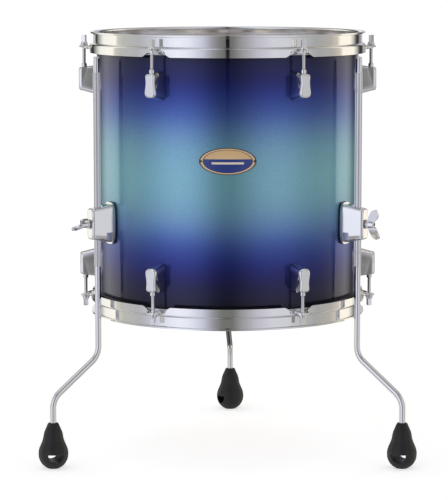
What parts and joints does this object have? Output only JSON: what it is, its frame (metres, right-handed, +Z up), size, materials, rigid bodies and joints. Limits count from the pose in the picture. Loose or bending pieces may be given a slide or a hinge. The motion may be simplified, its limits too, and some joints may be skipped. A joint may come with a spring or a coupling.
{
  "type": "floor tom drum",
  "caption": "Cylindrical floor tom with a fade-lacquered wooden shell, flanged steel hoops, key-tuned tension rods, twin-fluted lugs and bent clamp-on legs with rubber feet.",
  "frame": {"origin": "on the floor, at the middle of the bounding box; the drum's own axis is upright at y -0.0571", "axes": "+Z up along the drum's axis; -Y is the front with the badge; +X to the right seen from the front"},
  "size_m": [0.5704, 0.5382, 0.6507],
  "materials": {
    "lacquered_maple": "high-gloss clear lacquer over a stained blue fade",
    "chrome_plate": "bright chrome plate",
    "zinc_plate": "satin zinc plate",
    "aluminium": "mill finish",
    "clear_film": "clear polyester film",
    "black_rubber": "matt moulded",
    "printed_badge": "glossy printed plate"
  },
  "bodies": {
    "drum": {"badge": "printed_badge", "batter_lug_1": "chrome_plate", "batter_lug_2": "chrome_plate", "batter_lug_3": "chrome_plate", "batter_lug_4": "chrome_plate", "batter_lug_5": "chrome_plate", "batter_lug_6": "chrome_plate", "bracket_gasket_left": "black_rubber", "bracket_gasket_rear": "black_rubber", "bracket_gasket_right": "black_rubber", "leg_bracket_left": "chrome_plate", "leg_bracket_rear": "chrome_plate", "leg_bracket_right": "chrome_plate", "lower_bracket_bolt_left": "zinc_plate", "lower_bracket_bolt_rear": "zinc_plate", "lower_bracket_bolt_right": "zinc_plate", "resonant_lug_1": "chrome_plate", "resonant_lug_2": "chrome_plate", "resonant_lug_3": "chrome_plate", "resonant_lug_4": "chrome_plate", "resonant_lug_5": "chrome_plate", "resonant_lug_6": "chrome_plate", "shell": "lacquered_maple", "upper_bracket_bolt_left": "zinc_plate", "upper_bracket_bolt_rear": "zinc_plate", "upper_bracket_bolt_right": "zinc_plate", "vent_grommet": "zinc_plate", "wing_washer_left": "zinc_plate", "wing_washer_rear": "zinc_plate", "wing_washer_right": "zinc_plate"},
    "batter_head": {"batter_head_film": "clear_film", "batter_flesh_hoop": "aluminium"},
    "batter_hoop": {"batter_hoop": "chrome_plate"},
    "batter_tension_rod_1": {"batter_tension_rod_1": "chrome_plate"},
    "batter_tension_rod_2": {"batter_tension_rod_2": "chrome_plate"},
    "batter_tension_rod_3": {"batter_tension_rod_3": "chrome_plate"},
    "batter_tension_rod_4": {"batter_tension_rod_4": "chrome_plate"},
    "batter_tension_rod_5": {"batter_tension_rod_5": "chrome_plate"},
    "batter_tension_rod_6": {"batter_tension_rod_6": "chrome_plate"},
    "resonant_head": {"resonant_head_film": "clear_film", "resonant_flesh_hoop": "aluminium"},
    "resonant_hoop": {"resonant_hoop": "chrome_plate"},
    "resonant_tension_rod_1": {"resonant_tension_rod_1": "chrome_plate"},
    "resonant_tension_rod_2": {"resonant_tension_rod_2": "chrome_plate"},
    "resonant_tension_rod_3": {"resonant_tension_rod_3": "chrome_plate"},
    "resonant_tension_rod_4": {"resonant_tension_rod_4": "chrome_plate"},
    "resonant_tension_rod_5": {"resonant_tension_rod_5": "chrome_plate"},
    "resonant_tension_rod_6": {"resonant_tension_rod_6": "chrome_plate"},
    "leg_left": {"leg_left": "chrome_plate", "foot_left": "black_rubber"},
    "eye_bolt_left": {"eye_bolt_left": "zinc_plate"},
    "wing_nut_left": {"wing_nut_left": "chrome_plate"},
    "leg_right": {"leg_right": "chrome_plate", "foot_right": "black_rubber"},
    "eye_bolt_right": {"eye_bolt_right": "zinc_plate"},
    "wing_nut_right": {"wing_nut_right": "chrome_plate"},
    "leg_rear": {"leg_rear": "chrome_plate", "foot_rear": "black_rubber"},
    "eye_bolt_rear": {"eye_bolt_rear": "zinc_plate"},
    "wing_nut_rear": {"wing_nut_rear": "chrome_plate"}
  },
  "joints": [
    {"name": "batter_head_removal", "type": "slide", "parent": "drum", "child": "batter_head", "axis": [0, 0, 1], "range_m": [0, 0.1]},
    {"name": "batter_hoop_removal", "type": "slide", "parent": "batter_head", "child": "batter_hoop", "axis": [0, 0, 1], "range_m": [0, 0.03]},
    {"name": "batter_tension_rod_1_turn", "type": "hinge", "parent": "batter_hoop", "child": "batter_tension_rod_1", "pos_m": [-0.11035, 0.13403, 0.6376], "axis": [0, 0, 1], "continuous": true},
    {"name": "batter_tension_rod_2_turn", "type": "hinge", "parent": "batter_hoop", "child": "batter_tension_rod_2", "pos_m": [-0.2207, -0.0571, 0.6376], "axis": [0, 0, 1], "continuous": true},
    {"name": "batter_tension_rod_3_turn", "type": "hinge", "parent": "batter_hoop", "child": "batter_tension_rod_3", "pos_m": [-0.11035, -0.24823, 0.6376], "axis": [0, 0, 1], "continuous": true},
    {"name": "batter_tension_rod_4_turn", "type": "hinge", "parent": "batter_hoop", "child": "batter_tension_rod_4", "pos_m": [0.11035, -0.24823, 0.6376], "axis": [0, 0, 1], "continuous": true},
    {"name": "batter_tension_rod_5_turn", "type": "hinge", "parent": "batter_hoop", "child": "batter_tension_rod_5", "pos_m": [0.2207, -0.0571, 0.6376], "axis": [0, 0, 1], "continuous": true},
    {"name": "batter_tension_rod_6_turn", "type": "hinge", "parent": "batter_hoop", "child": "batter_tension_rod_6", "pos_m": [0.11035, 0.13403, 0.6376], "axis": [0, 0, 1], "continuous": true},
    {"name": "resonant_head_removal", "type": "slide", "parent": "drum", "child": "resonant_head", "axis": [0, 0, -1], "range_m": [0, 0.1]},
    {"name": "resonant_hoop_removal", "type": "slide", "parent": "resonant_head", "child": "resonant_hoop", "axis": [0, 0, -1], "range_m": [0, 0.03]},
    {"name": "resonant_tension_rod_1_turn", "type": "hinge", "parent": "resonant_hoop", "child": "resonant_tension_rod_1", "pos_m": [-0.11035, 0.13403, 0.2316], "axis": [0, 0, 1], "continuous": true},
    {"name": "resonant_tension_rod_2_turn", "type": "hinge", "parent": "resonant_hoop", "child": "resonant_tension_rod_2", "pos_m": [-0.2207, -0.0571, 0.2316], "axis": [0, 0, 1], "continuous": true},
    {"name": "resonant_tension_rod_3_turn", "type": "hinge", "parent": "resonant_hoop", "child": "resonant_tension_rod_3", "pos_m": [-0.11035, -0.24823, 0.2316], "axis": [0, 0, 1], "continuous": true},
    {"name": "resonant_tension_rod_4_turn", "type": "hinge", "parent": "resonant_hoop", "child": "resonant_tension_rod_4", "pos_m": [0.11035, -0.24823, 0.2316], "axis": [0, 0, 1], "continuous": true},
    {"name": "resonant_tension_rod_5_turn", "type": "hinge", "parent": "resonant_hoop", "child": "resonant_tension_rod_5", "pos_m": [0.2207, -0.0571, 0.2316], "axis": [0, 0, 1], "continuous": true},
    {"name": "resonant_tension_rod_6_turn", "type": "hinge", "parent": "resonant_hoop", "child": "resonant_tension_rod_6", "pos_m": [0.11035, 0.13403, 0.2316], "axis": [0, 0, 1], "continuous": true},
    {"name": "leg_left_height", "type": "slide", "parent": "drum", "child": "leg_left", "axis": [0, 0, 1], "range_m": [-0.2, 0.16]},
    {"name": "wing_nut_left_turn", "type": "hinge", "parent": "drum", "child": "wing_nut_left", "pos_m": [-0.20854, -0.1775, 0.366], "axis": [-0.866, -0.5, 0], "range_deg": [0, 450]},
    {"name": "eye_bolt_left_travel", "type": "slide", "parent": "drum", "child": "eye_bolt_left", "axis": [-0.866, -0.5, 0], "range_m": [-0.0013, 0]},
    {"name": "leg_right_height", "type": "slide", "parent": "drum", "child": "leg_right", "axis": [0, 0, 1], "range_m": [-0.2, 0.16]},
    {"name": "wing_nut_right_turn", "type": "hinge", "parent": "drum", "child": "wing_nut_right", "pos_m": [0.20854, -0.1775, 0.366], "axis": [0.866, -0.5, 0], "range_deg": [0, 450]},
    {"name": "eye_bolt_right_travel", "type": "slide", "parent": "drum", "child": "eye_bolt_right", "axis": [0.866, -0.5, 0], "range_m": [-0.0013, 0]},
    {"name": "leg_rear_height", "type": "slide", "parent": "drum", "child": "leg_rear", "axis": [0, 0, 1], "range_m": [-0.2, 0.16]},
    {"name": "wing_nut_rear_turn", "type": "hinge", "parent": "drum", "child": "wing_nut_rear", "pos_m": [0, 0.1837, 0.366], "axis": [0, 1, 0], "range_deg": [0, 450]},
    {"name": "eye_bolt_rear_travel", "type": "slide", "parent": "drum", "child": "eye_bolt_rear", "axis": [0, 1, 0], "range_m": [-0.0013, 0]}
  ],
  "couplings": [
    {"joint": "eye_bolt_left_travel", "follows": "wing_nut_left_turn", "m_per_rad": -0.00015915},
    {"joint": "eye_bolt_right_travel", "follows": "wing_nut_right_turn", "m_per_rad": -0.00015915},
    {"joint": "eye_bolt_rear_travel", "follows": "wing_nut_rear_turn", "m_per_rad": -0.00015915}
  ]
}
